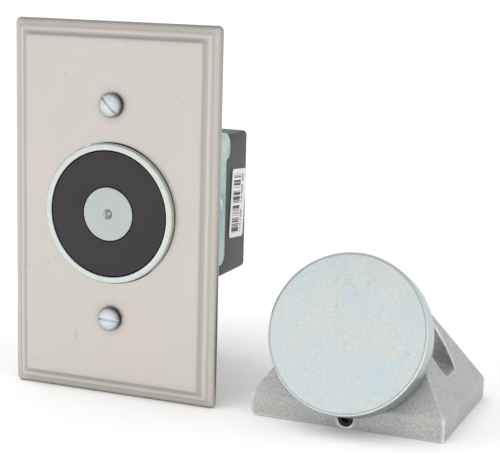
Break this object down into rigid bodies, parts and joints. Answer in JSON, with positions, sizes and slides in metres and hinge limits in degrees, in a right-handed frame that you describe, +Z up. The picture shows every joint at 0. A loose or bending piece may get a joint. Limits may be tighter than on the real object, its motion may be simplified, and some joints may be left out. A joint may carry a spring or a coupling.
{
  "type": "electromagnetic door holder",
  "caption": "Wall-mounted hold-open magnet on a flush plate with its rear housing, and a door-mounted steel disk swivelling on a cast pyramid base.",
  "frame": {"origin": "on the magnet's axis in the plane of the wall, where the cover plate's rim rests", "axes": "+Z up, -Y out of the wall from the cover plate, +X to the right as seen from the room"},
  "size_m": [0.1392, 0.071, 0.1142],
  "materials": {
    "satin_stainless": "satin warm stainless sheet",
    "zinc_plate": "blue-white zinc plating, faintly iridescent",
    "pole_steel": "ground pole face",
    "black_resin": "satin black potting resin",
    "black_nylon": "moulded, lightly textured",
    "white_nylon": "natural nylon",
    "enamelled_copper": "enamelled copper wire",
    "board_laminate": "green circuit board",
    "component_black": "moulded component",
    "blue_ceramic": "dipped ceramic",
    "black_rubber": "soft black rubber",
    "label_paper": "white label with bars",
    "silver_paint": "fine silver paint on a die casting",
    "black_oxide_steel": "black oxide",
    "spring_steel": "bright hardened steel",
    "brass": "turned brass"
  },
  "bodies": {
    "wall_half": {"face_plate": "satin_stainless", "plate_screw_upper": "zinc_plate", "plate_screw_lower": "zinc_plate", "magnet_cup": "zinc_plate", "magnet_core": "pole_steel", "coil_bobbin": "white_nylon", "coil_winding": "enamelled_copper", "face_resin": "black_resin", "core_bolt": "zinc_plate", "mounting_bracket": "zinc_plate", "rear_housing": "black_nylon", "housing_screw_left": "zinc_plate", "housing_screw_right": "zinc_plate", "circuit_board": "board_laminate", "board_screw_1": "zinc_plate", "board_screw_2": "zinc_plate", "board_screw_3": "zinc_plate", "bridge_rectifier": "component_black", "surge_suppressor": "blue_ceramic", "dropping_resistor": "blue_ceramic", "lead_grommet": "black_rubber", "side_label": "label_paper"},
    "door_half": {"base_casting": "silver_paint", "set_screw": "black_oxide_steel", "hinge_pin": "spring_steel", "shoe_plug": "brass", "disc_spring": "spring_steel", "friction_shoe": "white_nylon"},
    "arm": {"swivel_arm": "zinc_plate"},
    "ball_cup": {"bearing_cup": "white_nylon"},
    "disk_ring": {"retaining_ring": "spring_steel"},
    "disk": {"armature_disk": "zinc_plate"}
  },
  "joints": [
    {"name": "door_travel", "type": "slide", "parent": "wall_half", "child": "door_half", "axis": [0, -1, 0], "range_m": [0, 0.15]},
    {"name": "arm_tilt", "type": "hinge", "parent": "door_half", "child": "arm", "pos_m": [0.0755, 0.0234, -0.03805], "axis": [-1, 0, 0], "range_deg": [-0.5, 69.2]},
    {"name": "disk_swing", "type": "hinge", "parent": "arm", "child": "ball_cup", "pos_m": [0.0755, 0.00358, -0.03052], "axis": [0, 0.3551, 0.9348], "range_deg": [-6, 2]},
    {"name": "disk_nod", "type": "hinge", "parent": "ball_cup", "child": "disk_ring", "pos_m": [0.0755, 0.00358, -0.03052], "axis": [-0.9994, -0.0326, 0.0124], "range_deg": [0, 8]},
    {"name": "disk_spin", "type": "hinge", "parent": "disk_ring", "child": "disk", "pos_m": [0.0755, 0.00358, -0.03052], "axis": [0.0349, -0.9343, 0.3549], "continuous": true}
  ]
}
